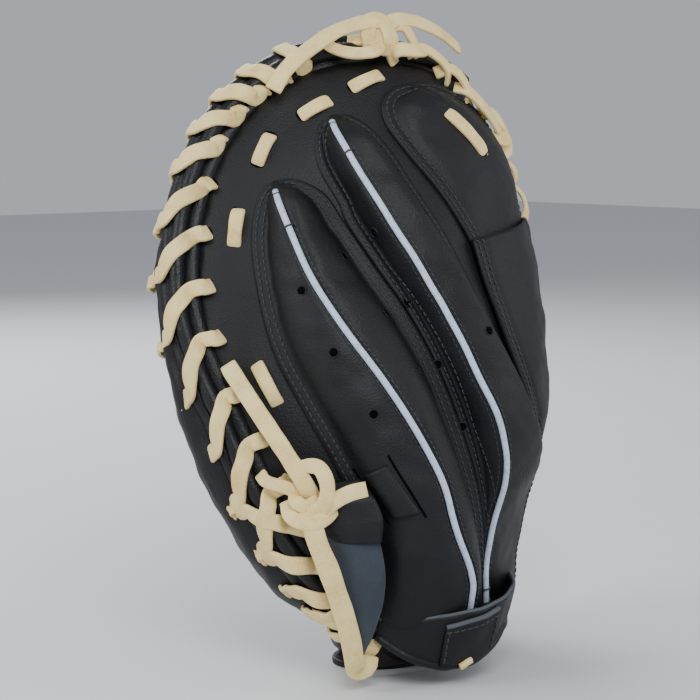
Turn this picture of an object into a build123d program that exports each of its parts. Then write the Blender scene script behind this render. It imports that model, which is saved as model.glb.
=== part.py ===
from build123d import *
import os
from math import cos, sin, radians, tan

os.makedirs("parts", exist_ok=True)

# A catcher's mitt for the left hand, standing on its heel with the fingertips up.
# +Z is up, the back of the hand faces -Y, the pocket opens towards +Y, the thumb is at +X.
# The origin is on the flat sole of the heel.

# Driving sizes, in millimetres and degrees
mitt_width = 216.0        # across the widest part, pinky rim to thumb rim
mitt_height = 300.0       # heel to the top of the rim
back_depth = 62.0         # the back of the hand stands this far behind the origin
pocket_depth = 15.0       # the deepest point of the pocket, behind the origin
leather = 2.5             # shell leather of the back
palm_leather = 3.0        # palm leather, a little heavier
lining = 1.2              # soft lining of the hand room
hand_room = 14.0          # from the inside of the back leather to the lining
seat_gap = 0.3            # clearance between pieces that lie on each other
welt_radius = 4.0         # rolled welts along the rim
piping_radius = 1.6       # pale cord along each finger stall
lace_width = 7.5          # rawhide lace
lace_thickness = 2.3
ring_rise = 16.0          # how far each stall stands out from the back
middle_rise = 16.0
index_rise = 8.0
hood_rise = 12.0
thumb_rise = 12.0
thumb_step = 12.0         # the thumb's back lies this much nearer to the pocket
wrist_rise = 17.0
heel_length = 68.0        # flat sole of the heel, short of the fold
heel_width = 48.0
heel_thickness = 3.0
close_angle = 20.0        # the pocket folds shut this far, and opens flat by open_angle
open_angle = 5.0
fold_clearance = 2.0      # spare angle at each end of the fold
knot_radius = 7.5
tab_thickness = 2.6

# The leather pattern was drawn for this size and follows the mitt's width and height
pattern_width = 216.0
pattern_height = 300.0
across = mitt_width / pattern_width
up = mitt_height / pattern_height
far = 260.0
lean = radians(9)

# Each egg is a centre, its three half-lengths and its turn
shell = ((10, -2, 146), (107, 80, 158), (-25.6, -6.1, -26.1))
thumb_egg = ((72, 24, 126), (46, 42, 108), (0, 12, 0))


def spot(point):
    """Pattern point to a real place in the XZ plane."""
    return (point[0] * across, point[1] * up)


def back(x, z):
    """Outer surface of the back leather, a dish that leans towards the thumb."""
    px, pz = x / across - 5, z / up - 105
    p = px * cos(lean) - pz * sin(lean)
    q = px * sin(lean) + pz * cos(lean)
    return -back_depth + 0.0076 * p * p + 0.0020 * q * q


def thumb_back(x, z):
    return back(x, z) + thumb_step


def pocket(x, z):
    """Bottom of the pocket."""
    return -pocket_depth + 0.0078 * (x / across - 4) ** 2 + 0.0035 * (z / up - 130) ** 2


def raised(base, rise, foot, angle, half_width, length):
    """A long dome over base, highest at its foot and running out at its tip."""
    a = radians(angle)

    def surface(x, z):
        dx, dz = x / across - foot[0], z / up - foot[1]
        w = dx * cos(a) + dz * sin(a)
        run = -dx * sin(a) + dz * cos(a)
        return base(x, z) - rise * (1 - (w / half_width) ** 2 - (run / length) ** 2)

    return surface


ring_dome = raised(back, ring_rise, (-20, 60), 12.5, 30, 178)
middle_dome = raised(back, middle_rise, (28, 60), 16.3, 28, 210)
index_dome = raised(back, index_rise, (50, 110), 12, 30, 168)
hood_dome = raised(back, hood_rise, (62, 110), 10, 34, 120)
thumb_dome = raised(thumb_back, thumb_rise, (66, 60), -14, 20, 150)
wrist_dome = raised(back, wrist_rise, (8, 20), 0, 50, 150)


def lifted(surface, amount):
    """The same surface, moved by amount towards the pocket."""
    return lambda x, z: surface(x, z) + amount


def sheet(surface):
    """Exact face of a quadratic surface over the whole mitt."""
    xs = (-140 * across, 10 * across, 160 * across)
    zs = (-40 * up, 140 * up, 320 * up)
    value = [[surface(x, z) for z in zs] for x in xs]
    mix = ((1, 0, 0), (-0.5, 2, -0.5), (0, 0, 1))
    rows = []
    for i in range(3):
        row = []
        for j in range(3):
            y = sum(mix[i][k] * mix[j][m] * value[k][m] for k in range(3) for m in range(3))
            row.append(Vector(xs[i], y, zs[j]))
        rows.append(row)
    return Face.make_bezier_surface(rows)


def beyond(surface, amount=far, mode=Mode.ADD):
    """All that lies past the surface, towards the pocket."""
    extrude(sheet(surface), amount=amount, dir=(0, 1, 0), mode=mode)


def outline(*stretches):
    """Closed outline in the XZ plane: each list of pattern points is one smooth stretch."""
    corners = []
    for stretch in stretches:
        points = [spot(p) for p in stretch]
        if len(points) > 2:
            Spline(*points)
        elif len(points) == 2:
            Line(*points)
        corners.append((points[0], points[-1]))
    for (_, end), (start, _) in zip(corners, corners[1:] + corners[:1]):
        if (Vector(*end) - Vector(*start)).length > 0.01:
            Line(end, start)


def egg_solid(egg, inset=0.0):
    """An egg, inset by a wall."""
    centre, half, turn = egg
    solid = scale(Solid.make_sphere(1.0), by=tuple(h - inset for h in half), mode=Mode.PRIVATE)
    solid = Location(centre, turn) * solid
    return scale(solid, by=(across, 1, up), mode=Mode.PRIVATE)


def on_egg(egg, angle, behind, outward=0.0):
    """Where an egg meets a surface, at this angle round the mitt, moved out along its normal."""
    centre, half, turn = egg
    turned = Location((0, 0, 0), turn)
    own = [(turned * Location(d)).position for d in ((1, 0, 0), (0, 1, 0), (0, 0, 1))]
    c, s = cos(radians(angle)), sin(radians(angle))
    near, out = 5.0, 260.0
    for _ in range(40):
        r = (near + out) / 2
        x, z = (centre[0] + r * c) * across, (centre[2] + r * s) * up
        v = Vector(x / across, behind(x, z), z / up) - Vector(*centre)
        part = [v.dot(d) / h for d, h in zip(own, half)]
        if sum(t * t for t in part) < 1:
            near = r
        else:
            out = r
    normal = Vector(0, 0, 0)
    for d, t, h in zip(own, part, half):
        normal += d * (t / h)
    return Vector(x, behind(x, z), z) + normal.normalized() * outward, normal.normalized()


# The fold runs from the heel to the web, just in front of the pocket's leather
fold_low = Vector(40 * across, 5, 0)
fold_high = Vector(86 * across, 50, 290 * up)
fold_line = (fold_high - fold_low).normalized()
fold_side = (Vector(1, 0, 0) - fold_line * fold_line.X).normalized()
fold_plane = Plane(origin=fold_low - fold_line * 60, x_dir=fold_side, z_dir=fold_line)
front_half = (close_angle + fold_clearance) / 2
back_half = (open_angle + fold_clearance) / 2


def keep_side(side):
    """Keep the finger side (-1) or the thumb side (+1), with the fold's wedge of room."""
    lip = side * seat_gap
    front = side * far * tan(radians(front_half))
    rear = side * far * tan(radians(back_half))
    with BuildSketch(fold_plane) as kept:
        with BuildLine():
            Polyline((lip, 0), (lip + front, far), (side * far, far), (side * far, -far),
                     (lip + rear, -far), (lip, 0))
        make_face()
    extrude(kept.sketch, amount=460 * up, mode=Mode.INTERSECT)


def tube(points, radius):
    """Round cord of even bends through the points."""
    radii = []
    for a, b, c in zip(points, points[1:], points[2:]):
        turn = (b - a).get_angle(c - b)
        shorter = min((b - a).length, (c - b).length)
        radii.append(min(0.45 * shorter / tan(radians(turn) / 2), 4000))
    with BuildLine() as path:
        FilletPolyline(*points, radius=radii)
    start = path.line @ 0
    along = path.line % 0
    with BuildSketch(Plane(origin=start, z_dir=along)) as section:
        Circle(radius)
    sweep(section.sketch, path=path.line)


def strip(a, b, outward, width=lace_width, thickness=lace_thickness):
    """Flat lace from a to b, lying with its face along outward."""
    along = (b - a).normalized()
    face = (outward - along * outward.dot(along)).normalized()
    plane = Plane(origin=a + face * thickness / 2, x_dir=face, z_dir=along)
    with BuildSketch(plane) as section:
        RectangleRounded(thickness, width, thickness * 0.3)
    extrude(section.sketch, amount=(b - a).length)


def surface_normal(surface, x, z):
    """Unit normal of a surface, away from the pocket."""
    dx = (surface(x + 1, z) - surface(x - 1, z)) / 2
    dz = (surface(x, z + 1) - surface(x, z - 1)) / 2
    return Vector(dx, -1, dz).normalized()


def above(surface, point, height):
    """Place at a pattern point, this high off the surface."""
    x, z = spot(point)
    return Vector(x, surface(x, z), z) + surface_normal(surface, x, z) * height


def save(piece, name, group=False):
    """Write a piece. A single piece leaves out the crumbs of its cuts."""
    solids = piece.part.solids().sort_by(SortBy.VOLUME)
    whole = piece.part if group else solids[-1]
    whole.label = name
    export_step(whole, "parts/" + name + ".step")
    print(name, round(whole.volume), [round(s.volume, 1) for s in solids[:-1]])


# Pattern outlines, in the pattern's own millimetres
valley = [(20, 30), (17, 39), (10, 55), (2, 85), (-9, 119), (-17, 146), (-26, 173), (-33, 191), (-39, 211)]
ring_left = [(-47, 30), (-50, 60), (-54, 84), (-61, 107), (-68, 129), (-73, 151), (-74, 173), (-72, 196),
             (-68, 213), (-61, 225), (-54, 231), (-47, 231), (-42, 225), (-39, 211)]
ring_seam = [(-4, 24), (-4, 31), (-11, 52), (-19, 72), (-26, 96), (-35, 117), (-44, 140), (-52, 162),
             (-57, 185), (-57, 209), (-57, 229), (-58, 245)]
middle_tip = [(-39, 211), (-38, 221), (-41, 236), (-37, 250), (-31, 258), (-25, 260), (-17, 257), (-12, 245),
              (-8, 229), (-2, 211), (6, 188), (15, 163), (30, 134), (46, 107), (50, 80), (49, 55), (46, 30)]
middle_seam = [(22, 24), (21, 33), (15, 52), (12, 72), (11, 92), (3, 116), (-5, 140), (-14, 166), (-21, 191),
               (-25, 213), (-27, 238), (-28, 259), (-28, 275)]
index_edge = [(13, 204), (9, 212), (4, 224), (-3, 241), (-7, 256), (-5, 266), (5, 273), (19, 275), (36, 272),
              (52, 264), (64, 252), (71, 236), (73, 220), (72, 204)]
hood_edge = [(13, 203.5), (12, 190), (14, 178), (21, 158), (34, 133), (48, 117), (60, 110)]
hood_right = [(60, 110), (66, 150), (72, 203.5)]
hand_hole = [(-38, -12), (-40, 20), (-43, 60), (-47, 84), (-54, 107), (-61, 129), (-66, 151), (-67, 173), (-65, 196),
             (-61, 211), (-54, 222), (-46, 222), (-40, 224), (-36, 240), (-30, 250), (-22, 250), (-12, 246),
             (-2, 250), (6, 264), (19, 268), (34, 265), (48, 257), (60, 244), (66, 228), (67, 204)]
hand_right = [(67, 204), (62, 160), (56, 107), (46, 60), (42, 20), (40, -12)]
web_gap = [(58, 330), (60, 262), (72, 236), (77, 204), (84, 196), (92, 204), (100, 222), (125, 240)]
web_leaf = [(59, 330), (60.7, 262.4), (72.7, 236.4), (77.7, 204.6), (84, 196.7), (91.4, 204.6), (99.3, 222.5),
            (124, 240.7)]
thumb_room = [(52, 26), (72, 56), (88, 100), (98, 150), (100, 180), (94, 194), (85, 190), (78, 160), (66, 110),
              (54, 76)]


def palm_body(form, surface_back, front):
    """The palm's solid form between the back leather and a front surface."""
    add(form)
    beyond(front, mode=Mode.SUBTRACT)
    extrude(sheet(surface_back), amount=far, dir=(0, 1, 0), mode=Mode.INTERSECT)


def cut_outline(*stretches, mode=Mode.INTERSECT):
    """Keep or cut what an XZ outline covers."""
    with BuildSketch(Plane.XZ) as area:
        with BuildLine():
            outline(*stretches)
        make_face()
    extrude(area.sketch, amount=far, both=True, mode=mode)


def above_sole(height):
    """Keep what lies above the sole."""
    with BuildSketch(Plane.XY.offset(height)) as floor:
        Rectangle(4 * far, 4 * far)
    extrude(floor.sketch, amount=2 * far, mode=Mode.INTERSECT)


# The heel bulges towards the pocket, so that the mitt stands
def heel_bulge(inset):
    with BuildPart() as bulge:
        with Locations((12 * across, 2, 20)):
            Sphere(30 - inset)
        scale(by=(1.4 * across, 1, 1))
    return bulge.part


def palm_shape(inset):
    """Outer form of the palm, inset by a wall."""
    return egg_solid(shell, inset) + egg_solid(thumb_egg, inset) + heel_bulge(inset)


outer_form = palm_shape(0)
leather_form = palm_shape(palm_leather)
pad_form = palm_shape(palm_leather + seat_gap)
pad_front = lifted(pocket, -palm_leather - seat_gap)
sole = heel_thickness + seat_gap
web_depth = 12.0
band_gap = leather + seat_gap

with BuildPart() as palm_inside:
    add(leather_form)
    beyond(lifted(pocket, -palm_leather), mode=Mode.SUBTRACT)

# Palm: leather outside, a thick pad inside it, and a lining over the hand room
for side, end, rear, room in ((-1, "fingers", back, (hand_hole, hand_right)),
                              (1, "thumb", thumb_back, (thumb_room,))):
    with BuildPart() as skin:
        palm_body(outer_form, lifted(rear, band_gap), pocket)
        add(palm_inside.part, mode=Mode.SUBTRACT)
        cut_outline(web_gap, mode=Mode.SUBTRACT)
        above_sole(sole)
        keep_side(side)
    save(skin, "palm_leather_" + end)

    with BuildPart() as hand_space:
        extrude(sheet(lifted(rear, -far)), amount=far + leather + hand_room + lining + seat_gap, dir=(0, 1, 0))
        cut_outline(*room)

    with BuildPart() as pad:
        palm_body(pad_form, lifted(rear, band_gap), pad_front)
        add(hand_space.part, mode=Mode.SUBTRACT)
        cut_outline(web_gap, mode=Mode.SUBTRACT)
        above_sole(sole)
        keep_side(side)
    save(pad, "palm_pad_" + end)

    with BuildPart() as soft:
        extrude(sheet(lifted(rear, leather + hand_room)), amount=lining, dir=(0, 1, 0))
        cut_outline(*room)
        add(pad_form, mode=Mode.INTERSECT)
        beyond(pad_front, mode=Mode.SUBTRACT)
        above_sole(sole)
        keep_side(side)
    save(soft, "palm_lining_" + end)

    # Back leather: a sheet from rim to rim with the hand's opening in it
    with BuildPart() as band:
        extrude(sheet(rear), amount=leather, dir=(0, 1, 0))
        add(outer_form, mode=Mode.INTERSECT)
        cut_outline(*room, mode=Mode.SUBTRACT)
        cut_outline(web_gap, mode=Mode.SUBTRACT)
        above_sole(sole)
        keep_side(side)
    save(band, "back_band_" + end)

    # Web: one leaf on each side of the fold, between the index finger and the thumb
    with BuildPart() as web:
        extrude(sheet(lifted(back, web_depth)), amount=palm_leather, dir=(0, 1, 0))
        add(outer_form, mode=Mode.INTERSECT)
        cut_outline(web_leaf)
        keep_side(side)
    save(web, "web_" + end)

# Flat sole of the heel
with BuildPart() as heel_patch:
    with BuildSketch():
        with Locations((4 * across, 2)):
            Ellipse(heel_length / 2, heel_width / 2)
    extrude(amount=heel_thickness)
save(heel_patch, "heel_patch")


def stall(dome, base, *area, thickness=leather, lift=seat_gap):
    """Domed panel with a flat sewn edge, lying on the leather under it."""
    beyond(lifted(dome, -thickness - lift))
    beyond(lifted(base, -thickness - lift))
    beyond(lifted(dome, -lift), mode=Mode.SUBTRACT)
    beyond(lifted(base, -lift), mode=Mode.SUBTRACT)
    cut_outline(*area)


def moved(points, dx):
    return [(x + dx, z) for x, z in points]


seam_gap = 0.6
ring_area = (valley[:-1], list(reversed(ring_left)))
middle_area = (moved(valley, seam_gap), moved(middle_tip[1:], seam_gap))
thumb_area = ([(54, 30), (50, 46), (52, 80), (62, 112), (72, 160), (78, 190), (86, 201), (97, 202), (106, 190),
               (107, 165), (104, 140), (96, 106), (84, 70), (68, 42), (54, 30)],)
thumb_seam = [(50, 20), (55, 33), (66, 66), (78, 104), (88, 150), (93, 200), (94, 215)]


def half_plane(line, side):
    """Outline of all that lies on one side of a seam that runs up the mitt."""
    edge = moved(line, side * seam_gap / 2)
    low = (side * far, edge[0][1] - far)
    high = (side * far, edge[-1][1] + far)
    return (edge, [(edge[-1][0], high[1]), high], [low, (edge[0][0], low[1])])


for name, dome, base, area, seam, splits in (
        ("ring", ring_dome, back, ring_area, ring_seam, 1),
        ("middle", middle_dome, back, middle_area, middle_seam, 1),
        ("thumb", thumb_dome, thumb_back, thumb_area, thumb_seam, -1)):
    for side, part_name in ((-splits, "outer"), (splits, "inner")):
        with BuildPart() as panel:
            stall(dome, base, *area)
            cut_outline(*half_plane(seam, side))
            if name == "thumb":
                keep_side(1)
        save(panel, name + "_stall_" + part_name)
    with BuildPart() as piping:
        top = lifted(dome, -leather - seat_gap)
        tube([above(top, p, piping_radius + seat_gap) for p in seam[1:-1]], piping_radius)
    save(piping, name + "_piping")

with BuildPart() as index_stall:
    stall(index_dome, back, index_edge)
    keep_side(-1)
save(index_stall, "index_stall")

with BuildPart() as finger_hood:
    stall(hood_dome, back, hood_edge, hood_right)
    keep_side(-1)
save(finger_hood, "finger_hood")

# Wrist: a band over the lower ends of the stalls, bound along its edge
wrist_area = ([(-42, 29.4), (-44, 16), (-38, 7), (-28, 4)], [(50, 4), (62, 12), (70, 29.4)])
for side, end, rear in ((-1, "fingers", back), (1, "thumb", thumb_back)):
    with BuildPart() as wrist_band:
        stall(wrist_dome, rear, *wrist_area)
        keep_side(side)
    save(wrist_band, "wrist_band_" + end)

wrist_top = lifted(wrist_dome, -leather - seat_gap)
with BuildPart() as wrist_binding:
    edge = [(-26, 5), (-14, 4.6), (2, 4.2), (16, 4.4), (28, 4.8), (36, 5.2)]
    tube([above(wrist_top, p, piping_radius + seat_gap) for p in edge], piping_radius)
save(wrist_binding, "wrist_binding")

second_layer = leather + 2 * seat_gap
with BuildPart() as wrist_patch:
    stall(wrist_dome, back, [(2, 9), (20, 12)], [(22, 26), (-2, 22)], lift=second_layer)
save(wrist_patch, "wrist_patch")

with BuildPart() as strap_keeper:
    stall(ring_dome, back, [(-52, 96), (-44, 101)], [(-36, 84), (-44, 79)], lift=second_layer)
save(strap_keeper, "strap_keeper")

# Adjuster: a leaf of leather, drawn in by a knotted lace
with BuildPart() as adjuster_tab:
    stall(ring_dome, back, [(-58, 82), (-48, 84), (-41, 70), (-38, 54), (-41, 40), (-47, 30)],
          [(-47, 30), (-54, 38), (-58, 52), (-60, 68), (-58, 82)], thickness=tab_thickness, lift=second_layer)
save(adjuster_tab, "adjuster_tab")

knot_height = knot_radius + leather + 2 * seat_gap
knot_place = above(back, (-66, 93), knot_height)
with BuildPart() as adjuster_lace:
    with Locations(knot_place):
        Sphere(knot_radius)
    away = surface_normal(back, *spot((-66, 93)))
    strip(above(back, (-67, 97), 7), above(back, (-77, 140), 4), away)
    strip(above(back, (-64, 88), 12), above(back, (-44, 12), 19), away)
save(adjuster_lace, "adjuster_lace", group=True)

# Slot stitches of lace through the back leather
index_top = lifted(index_dome, -leather - seat_gap)
slots = [(back, (-60, 240), (-52, 251)), (back, (-75, 203), (-71, 217)), (back, (-78, 148), (-75, 132)),
         (back, (-38, 262), (-27, 267)), (back, (-14, 275), (0, 279)), (index_top, (21, 259), (33, 241))]
with BuildPart() as band_lace:
    for under, a, b in slots:
        middle = ((a[0] + b[0]) / 2, (a[1] + b[1]) / 2)
        away = surface_normal(under, *spot(middle))
        strip(above(under, a, 0.7), above(under, b, 0.7), away)
save(band_lace, "band_lace", group=True)

# Rim: two rolled welts side by side, bound by a spiral of lace
rim_depth = 10.2
welt_apart = welt_radius + 0.2
welt_out = welt_radius + 1.0
loop_radius = 10.0


def rim_frame(egg, rear, angle):
    """Middle of the two welts, with the directions out of the rim, along it and over it."""
    place, out = on_egg(egg, angle, lifted(rear, rim_depth))
    ahead, _ = on_egg(egg, angle + 1, lifted(rear, rim_depth))
    along = (ahead - place).normalized()
    over = along.cross(out)
    if over.Y < 0:
        along, over = -along, -over
    return place, out, along, over


def rim_loop(egg, rear, angle):
    """One turn of lace over the two welts."""
    place, out, along, over = rim_frame(egg, rear, angle)
    outer = loop_radius + lace_thickness
    plane = Plane(origin=place + out - along * lace_width / 2, x_dir=out, z_dir=along)
    with BuildSketch(plane) as turn:
        Circle(outer)
        Circle(loop_radius, mode=Mode.SUBTRACT)
        with Locations((-outer, 0)):
            Rectangle(2 * outer, 4 * outer, mode=Mode.SUBTRACT)
    extrude(turn.sketch, amount=lace_width)


rims = (("fingers", shell, back, range(76, 242, 12), range(80, 218, 9)),
        ("thumb", thumb_egg, thumb_back, range(78, -62, -14), range(66, -45, -13)))
for end, egg, rear, stations, turns in rims:
    for name, away in (("back_welt_", -welt_apart), ("palm_welt_", welt_apart)):
        route = []
        for a in stations:
            place, out, along, over = rim_frame(egg, rear, a)
            route.append(place + out * welt_out + over * away)
        with BuildPart() as welt:
            tube(route, welt_radius)
        save(welt, name + end)
    with BuildPart() as rim_lace:
        for a in turns:
            rim_loop(egg, rear, a)
    save(rim_lace, "rim_lace_" + end, group=True)

with BuildPart() as heel_lace:
    for a in (221, 227, 233):
        rim_loop(shell, back, a)
save(heel_lace, "heel_lace", group=True)
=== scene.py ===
from math import cos, sin, radians, pi, atan2
import bpy
import bmesh
import numpy as np
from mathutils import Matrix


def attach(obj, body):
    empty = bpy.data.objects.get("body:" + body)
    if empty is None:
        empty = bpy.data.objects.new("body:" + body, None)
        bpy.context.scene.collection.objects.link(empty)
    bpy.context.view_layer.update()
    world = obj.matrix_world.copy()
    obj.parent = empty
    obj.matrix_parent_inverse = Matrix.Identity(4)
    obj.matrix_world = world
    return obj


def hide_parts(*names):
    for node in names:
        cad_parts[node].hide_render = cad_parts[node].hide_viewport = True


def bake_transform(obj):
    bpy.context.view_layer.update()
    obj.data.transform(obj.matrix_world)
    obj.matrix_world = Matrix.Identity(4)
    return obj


# A black leather catcher's mitt, built in millimetres and placed in metres.
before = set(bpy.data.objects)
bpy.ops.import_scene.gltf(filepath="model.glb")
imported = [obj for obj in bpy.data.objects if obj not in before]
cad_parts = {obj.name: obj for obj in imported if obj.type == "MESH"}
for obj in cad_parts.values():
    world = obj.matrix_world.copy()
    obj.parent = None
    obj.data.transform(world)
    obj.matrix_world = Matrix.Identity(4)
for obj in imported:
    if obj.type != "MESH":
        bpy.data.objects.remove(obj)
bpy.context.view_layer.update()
print("frame loaded")

scene = bpy.context.scene

# camera
cameraValues = {"azimuth": -42.0, "elevation": 6.0, "distance": 1.1, "lens": 118.8, "height": 0.150,
                "shift": 0.0171}
a, e = radians(cameraValues["azimuth"]), radians(cameraValues["elevation"])
backward = np.array([sin(a) * cos(e), -cos(a) * cos(e), sin(e)])
rightward = np.array([cos(a), sin(a), 0.0])
aim = np.array([0, 0, cameraValues["height"]]) - rightward * cameraValues["shift"]
bpy.ops.object.camera_add(location=tuple(aim + backward * cameraValues["distance"]))
camera = bpy.context.object
camera.rotation_euler = (pi / 2 - e, 0, a)
camera.data.lens = cameraValues["lens"]
camera.data.sensor_width = 36
scene.camera = camera


# materials
class Wire:
    # one output of a node tree, which can be used in sums
    def __init__(self, tree, socket=None):
        self.tree = tree
        self.socket = socket

    def make(self, kind, values=(), output=0, **settings):
        node = self.tree.nodes.new("ShaderNode" + kind)
        for key, value in settings.items():
            setattr(node, key, value)
        for key, value in dict(values).items():
            if isinstance(value, Wire):
                self.tree.links.new(value.socket, node.inputs[key])
            else:
                node.inputs[key].default_value = value
        return Wire(self.tree, node.outputs[output])

    def calc(self, operation, first, second):
        return self.make("Math", {0: first, 1: second}, operation=operation)

    def __add__(self, other):
        return self.calc("ADD", self, other)

    def __mul__(self, other):
        return self.calc("MULTIPLY", self, other)

    __radd__ = __add__
    __rmul__ = __mul__

    def between(self, low, high):
        return self.make("MapRange", {"Value": self, "From Min": low, "From Max": high})

    def blend(self, first, second):
        return self.make("Mix", {0: self, 6: first, 7: second}, output=2, data_type="RGBA")


def newMaterial(name, **constants):
    material = bpy.data.materials.new(name)
    material.use_nodes = True
    tree = material.node_tree
    shader = tree.nodes["Principled BSDF"]
    for key, value in constants.items():
        shader.inputs[key.replace("_", " ")].default_value = value
    wire = Wire(tree)
    return material, shader, wire, wire.make("TexCoord", output=3)


def connect(wire, shader, name):
    wire.tree.links.new(wire.socket, shader.inputs[name])


def colour(rgb):
    return (*rgb, 1.0)


def leather(name, values):
    material, shader, wire, place = newMaterial(name, Specular_IOR_Level=values["shine"])
    cells = wire.make("TexVoronoi", {"Vector": place, "Scale": values["grainScale"], "Randomness": 0.9})
    cells = cells.between(0.0, 0.75)
    fine = wire.make("TexNoise", {"Vector": place, "Scale": values["grainScale"] * 1.9, "Detail": 4.0})
    broad = wire.make("TexNoise", {"Vector": place, "Scale": 38.0, "Detail": 3.0})
    creases = wire.make("TexNoise", {"Vector": place, "Scale": 120.0, "Detail": 5.0, "Distortion": 1.2})
    worn = broad.between(0.35, 0.75)
    connect(worn.blend(colour(values["colour"]), colour(values["worn"])), shader, "Base Color")
    rough = broad.between(0.3, 0.7) * values["roughSpread"] + fine * 0.06 + values["rough"]
    connect(rough, shader, "Roughness")
    height = cells * 0.6 + fine * 0.35 + creases * values["creases"]
    bump = wire.make("Bump", {"Strength": values["bump"], "Distance": 0.0003, "Height": height})
    connect(bump, shader, "Normal")
    return material


backLeatherValues = {"colour": (0.0052, 0.0058, 0.0072), "worn": (0.0088, 0.0093, 0.0105), "shine": 0.28,
                     "rough": 0.43, "roughSpread": 0.10, "grainScale": 1050.0, "creases": 0.5, "bump": 0.55}
palmLeatherValues = {**backLeatherValues, "rough": 0.38, "worn": (0.0105, 0.0103, 0.0105), "creases": 1.0}
weltLeatherValues = {**backLeatherValues, "rough": 0.34, "creases": 0.9}
panelLeatherValues = {**backLeatherValues, "rough": 0.45, "colour": (0.0048, 0.0054, 0.0068)}
backLeather = leather("back_leather", backLeatherValues)
panelLeather = leather("panel_leather", panelLeatherValues)
palmLeather = leather("palm_leather", palmLeatherValues)
weltLeather = leather("welt_leather", weltLeatherValues)
liningLeather = leather("lining_leather", {**backLeatherValues, "colour": (0.035, 0.03, 0.027),
                                           "worn": (0.05, 0.045, 0.04), "rough": 0.62})

laceValues = {"colour": (0.84, 0.67, 0.29), "shade": (0.66, 0.47, 0.17), "edge": (0.90, 0.77, 0.42),
              "rough": 0.52}
laceLeather, shader, wire, place = newMaterial("rawhide_lace", Specular_IOR_Level=0.35)
mottle = wire.make("TexNoise", {"Vector": place, "Scale": 90.0, "Detail": 4.0, "Roughness": 0.6})
fibres = wire.make("TexNoise", {"Vector": place, "Scale": 1300.0, "Detail": 4.0})
streaks = mottle.between(0.38, 0.72).blend(colour(laceValues["colour"]), colour(laceValues["shade"]))
connect(fibres.between(0.45, 0.9).blend(streaks, colour(laceValues["edge"])), shader, "Base Color")
connect(fibres * 0.15 + laceValues["rough"], shader, "Roughness")
height = fibres + mottle * 0.8
connect(wire.make("Bump", {"Strength": 0.35, "Distance": 0.0003, "Height": height}), shader, "Normal")

pipingValues = {"colour": (0.52, 0.60, 0.72), "shade": (0.40, 0.47, 0.58), "rough": 0.38}
pipingLeather, shader, wire, place = newMaterial("piping", Specular_IOR_Level=0.5)
mottle = wire.make("TexNoise", {"Vector": place, "Scale": 400.0, "Detail": 4.0})
connect(mottle.between(0.4, 0.7).blend(colour(pipingValues["colour"]), colour(pipingValues["shade"])), shader,
        "Base Color")
connect(mottle * 0.2 + pipingValues["rough"], shader, "Roughness")
connect(wire.make("Bump", {"Strength": 0.3, "Distance": 0.0002, "Height": mottle}), shader, "Normal")

suedeValues = {"colour": (0.020, 0.027, 0.037), "nap": (0.042, 0.053, 0.070), "rough": 0.9}
suede, shader, wire, place = newMaterial("suede", Specular_IOR_Level=0.2, Sheen_Weight=0.3)
nap = wire.make("TexNoise", {"Vector": place, "Scale": 1500.0, "Detail": 5.0, "Roughness": 0.7})
cloud = wire.make("TexNoise", {"Vector": place, "Scale": 60.0, "Detail": 3.0})
brushed = (nap * 0.6 + cloud * 0.5).between(0.35, 0.75)
connect(brushed.blend(colour(suedeValues["colour"]), colour(suedeValues["nap"])), shader, "Base Color")
connect(cloud * 0.05 + suedeValues["rough"], shader, "Roughness")
connect(wire.make("Bump", {"Strength": 0.5, "Distance": 0.0003, "Height": nap}), shader, "Normal")

threadValues = {"colour": (0.020, 0.022, 0.026), "light": (0.034, 0.036, 0.042), "rough": 0.6}
thread, shader, wire, place = newMaterial("thread", Specular_IOR_Level=0.5)
strands = wire.make("TexNoise", {"Vector": place, "Scale": 2500.0, "Detail": 2.0})
twist = strands.between(0.35, 0.65)
connect(twist.blend(colour(threadValues["colour"]), colour(threadValues["light"])), shader, "Base Color")
connect(strands * 0.1 + threadValues["rough"], shader, "Roughness")

# near-black material laid over holes and slits: painted shade for their insides
paintedHoleShade = newMaterial("painted_hole_shade", Specular_IOR_Level=0.05, Roughness=0.95,
                       Base_Color=colour((0.002, 0.002, 0.002)))[0]
rawEdge = newMaterial("cut_edge", Specular_IOR_Level=0.3, Roughness=0.7,
                      Base_Color=colour((0.075, 0.085, 0.10)))[0]
print("materials made")

# the mitt's surfaces, in millimetres
formValues = {"lean": 9.0, "backDepth": 62.0, "backBend": 0.0076, "backSweep": 0.0020, "thumbStep": 12.0,
              "pocketDepth": 15.0, "pocketBend": 0.0078, "pocketSweep": 0.0035, "foldWidth": 16.0,
              "drawnIn": 5.0, "palmBulge": 12.0}
mittMiddle = (10, 146)   # the rim is measured round this point, as (x, z)
lean = radians(formValues["lean"])
foldLow, foldHigh = np.array([40.0, 5.0, 0.0]), np.array([86.0, 50.0, 290.0])
foldLine = (foldHigh - foldLow) / np.linalg.norm(foldHigh - foldLow)
foldSide = np.array([1.0, 0, 0]) - foldLine * foldLine[0]
foldSide /= np.linalg.norm(foldSide)
shellEgg = ((10, -2, 146), (107, 80, 158), (-25.6, -6.1, -26.1))
thumbEgg = ((72, 24, 126), (46, 42, 108), (0, 12, 0))


def smooth(t):
    t = np.clip(t, 0, 1)
    return t * t * (3 - 2 * t)


def back(x, z):
    px, pz = x - 5, z - 105
    p = px * cos(lean) - pz * sin(lean)
    q = px * sin(lean) + pz * cos(lean)
    return -formValues["backDepth"] + formValues["backBend"] * p * p + formValues["backSweep"] * q * q


def thumbBack(x, z):
    return back(x, z) + formValues["thumbStep"]


def skinBack(x, z):
    # one skin, which steps down from the fingers to the thumb across the fold
    foldX = 44 + 46 * z / 290
    return back(x, z) + formValues["thumbStep"] * smooth((x - foldX + 8) / 26)


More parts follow.
